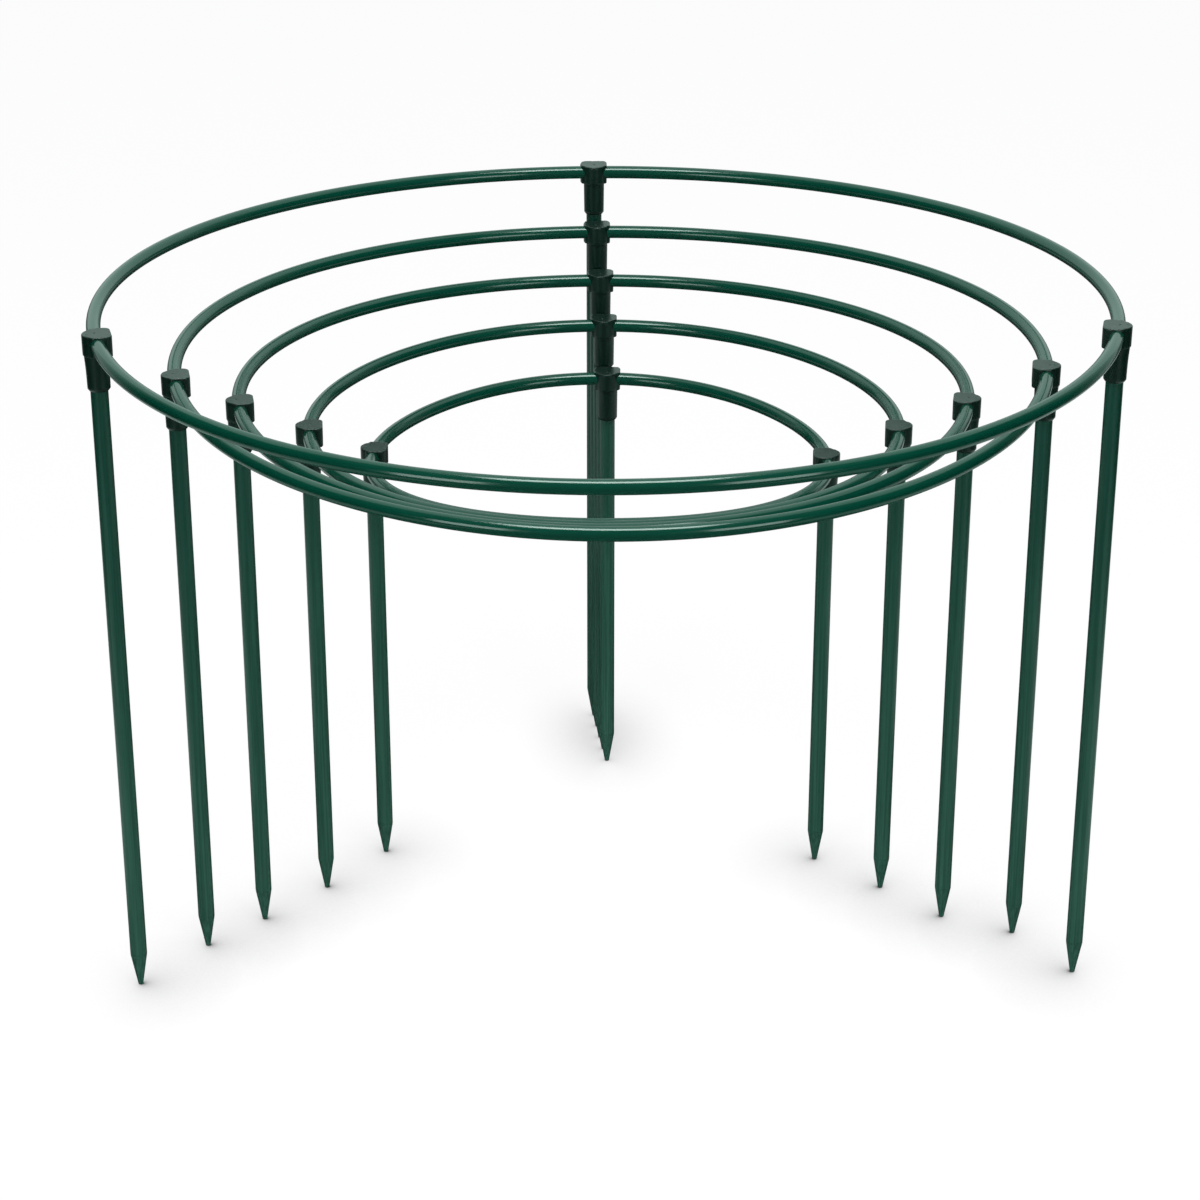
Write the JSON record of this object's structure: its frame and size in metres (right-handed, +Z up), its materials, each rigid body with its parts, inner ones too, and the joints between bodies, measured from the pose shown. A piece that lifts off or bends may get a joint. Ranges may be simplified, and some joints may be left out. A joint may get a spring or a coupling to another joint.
{
  "type": "nested plant support rings",
  "caption": "Nested set of round garden plant supports: green hoops on pointed stakes, joined by black moulded caps; each inner support lifts out and each stake pulls out.",
  "frame": {"origin": "on the ground under the middle of the set's box", "axes": "+Z up along the stakes, +Y towards the row of back stakes, +X to the right seen from the open front"},
  "size_m": [0.6488, 0.654, 0.462],
  "materials": {
    "hoop_gloss_green": "glossy bottle green",
    "stake_satin_green": "satin dark green coating on steel tube",
    "point_satin_green": "satin dark green moulding",
    "cap_black": "matte near-black moulding"
  },
  "bodies": {
    "ring_1": {"hoop_1": "hoop_gloss_green", "cap_1_left": "cap_black", "cap_1_back": "cap_black", "cap_1_right": "cap_black"},
    "ring_2": {"hoop_2": "hoop_gloss_green", "cap_2_left": "cap_black", "cap_2_back": "cap_black", "cap_2_right": "cap_black"},
    "ring_3": {"hoop_3": "hoop_gloss_green", "cap_3_left": "cap_black", "cap_3_back": "cap_black", "cap_3_right": "cap_black"},
    "ring_4": {"hoop_4": "hoop_gloss_green", "cap_4_left": "cap_black", "cap_4_back": "cap_black", "cap_4_right": "cap_black"},
    "ring_5": {"hoop_5": "hoop_gloss_green", "cap_5_left": "cap_black", "cap_5_back": "cap_black", "cap_5_right": "cap_black"},
    "leg_1_left": {"stake_1_left": "stake_satin_green", "point_1_left": "point_satin_green"},
    "leg_1_back": {"stake_1_back": "stake_satin_green", "point_1_back": "point_satin_green"},
    "leg_1_right": {"stake_1_right": "stake_satin_green", "point_1_right": "point_satin_green"},
    "leg_2_left": {"stake_2_left": "stake_satin_green", "point_2_left": "point_satin_green"},
    "leg_2_back": {"stake_2_back": "stake_satin_green", "point_2_back": "point_satin_green"},
    "leg_2_right": {"stake_2_right": "stake_satin_green", "point_2_right": "point_satin_green"},
    "leg_3_left": {"stake_3_left": "stake_satin_green", "point_3_left": "point_satin_green"},
    "leg_3_back": {"stake_3_back": "stake_satin_green", "point_3_back": "point_satin_green"},
    "leg_3_right": {"stake_3_right": "stake_satin_green", "point_3_right": "point_satin_green"},
    "leg_4_left": {"stake_4_left": "stake_satin_green", "point_4_left": "point_satin_green"},
    "leg_4_back": {"stake_4_back": "stake_satin_green", "point_4_back": "point_satin_green"},
    "leg_4_right": {"stake_4_right": "stake_satin_green", "point_4_right": "point_satin_green"},
    "leg_5_left": {"stake_5_left": "stake_satin_green", "point_5_left": "point_satin_green"},
    "leg_5_back": {"stake_5_back": "stake_satin_green", "point_5_back": "point_satin_green"},
    "leg_5_right": {"stake_5_right": "stake_satin_green", "point_5_right": "point_satin_green"}
  },
  "joints": [
    {"name": "lift_ring_2", "type": "slide", "parent": "ring_1", "child": "ring_2", "axis": [0, 0, 1], "range_m": [0, 0.45]},
    {"name": "lift_ring_3", "type": "slide", "parent": "ring_1", "child": "ring_3", "axis": [0, 0, 1], "range_m": [0, 0.45]},
    {"name": "lift_ring_4", "type": "slide", "parent": "ring_1", "child": "ring_4", "axis": [0, 0, 1], "range_m": [0, 0.45]},
    {"name": "lift_ring_5", "type": "slide", "parent": "ring_1", "child": "ring_5", "axis": [0, 0, 1], "range_m": [0, 0.45]},
    {"name": "pull_leg_1_left", "type": "slide", "parent": "ring_1", "child": "leg_1_left", "axis": [0, 0, -1], "range_m": [0, 0.028]},
    {"name": "pull_leg_1_back", "type": "slide", "parent": "ring_1", "child": "leg_1_back", "axis": [0, 0, -1], "range_m": [0, 0.028]},
    {"name": "pull_leg_1_right", "type": "slide", "parent": "ring_1", "child": "leg_1_right", "axis": [0, 0, -1], "range_m": [0, 0.028]},
    {"name": "pull_leg_2_left", "type": "slide", "parent": "ring_2", "child": "leg_2_left", "axis": [0, 0, -1], "range_m": [0, 0.028]},
    {"name": "pull_leg_2_back", "type": "slide", "parent": "ring_2", "child": "leg_2_back", "axis": [0, 0, -1], "range_m": [0, 0.028]},
    {"name": "pull_leg_2_right", "type": "slide", "parent": "ring_2", "child": "leg_2_right", "axis": [0, 0, -1], "range_m": [0, 0.028]},
    {"name": "pull_leg_3_left", "type": "slide", "parent": "ring_3", "child": "leg_3_left", "axis": [0, 0, -1], "range_m": [0, 0.028]},
    {"name": "pull_leg_3_back", "type": "slide", "parent": "ring_3", "child": "leg_3_back", "axis": [0, 0, -1], "range_m": [0, 0.028]},
    {"name": "pull_leg_3_right", "type": "slide", "parent": "ring_3", "child": "leg_3_right", "axis": [0, 0, -1], "range_m": [0, 0.028]},
    {"name": "pull_leg_4_left", "type": "slide", "parent": "ring_4", "child": "leg_4_left", "axis": [0, 0, -1], "range_m": [0, 0.028]},
    {"name": "pull_leg_4_back", "type": "slide", "parent": "ring_4", "child": "leg_4_back", "axis": [0, 0, -1], "range_m": [0, 0.028]},
    {"name": "pull_leg_4_right", "type": "slide", "parent": "ring_4", "child": "leg_4_right", "axis": [0, 0, -1], "range_m": [0, 0.028]},
    {"name": "pull_leg_5_left", "type": "slide", "parent": "ring_5", "child": "leg_5_left", "axis": [0, 0, -1], "range_m": [0, 0.028]},
    {"name": "pull_leg_5_back", "type": "slide", "parent": "ring_5", "child": "leg_5_back", "axis": [0, 0, -1], "range_m": [0, 0.028]},
    {"name": "pull_leg_5_right", "type": "slide", "parent": "ring_5", "child": "leg_5_right", "axis": [0, 0, -1], "range_m": [0, 0.028]}
  ]
}
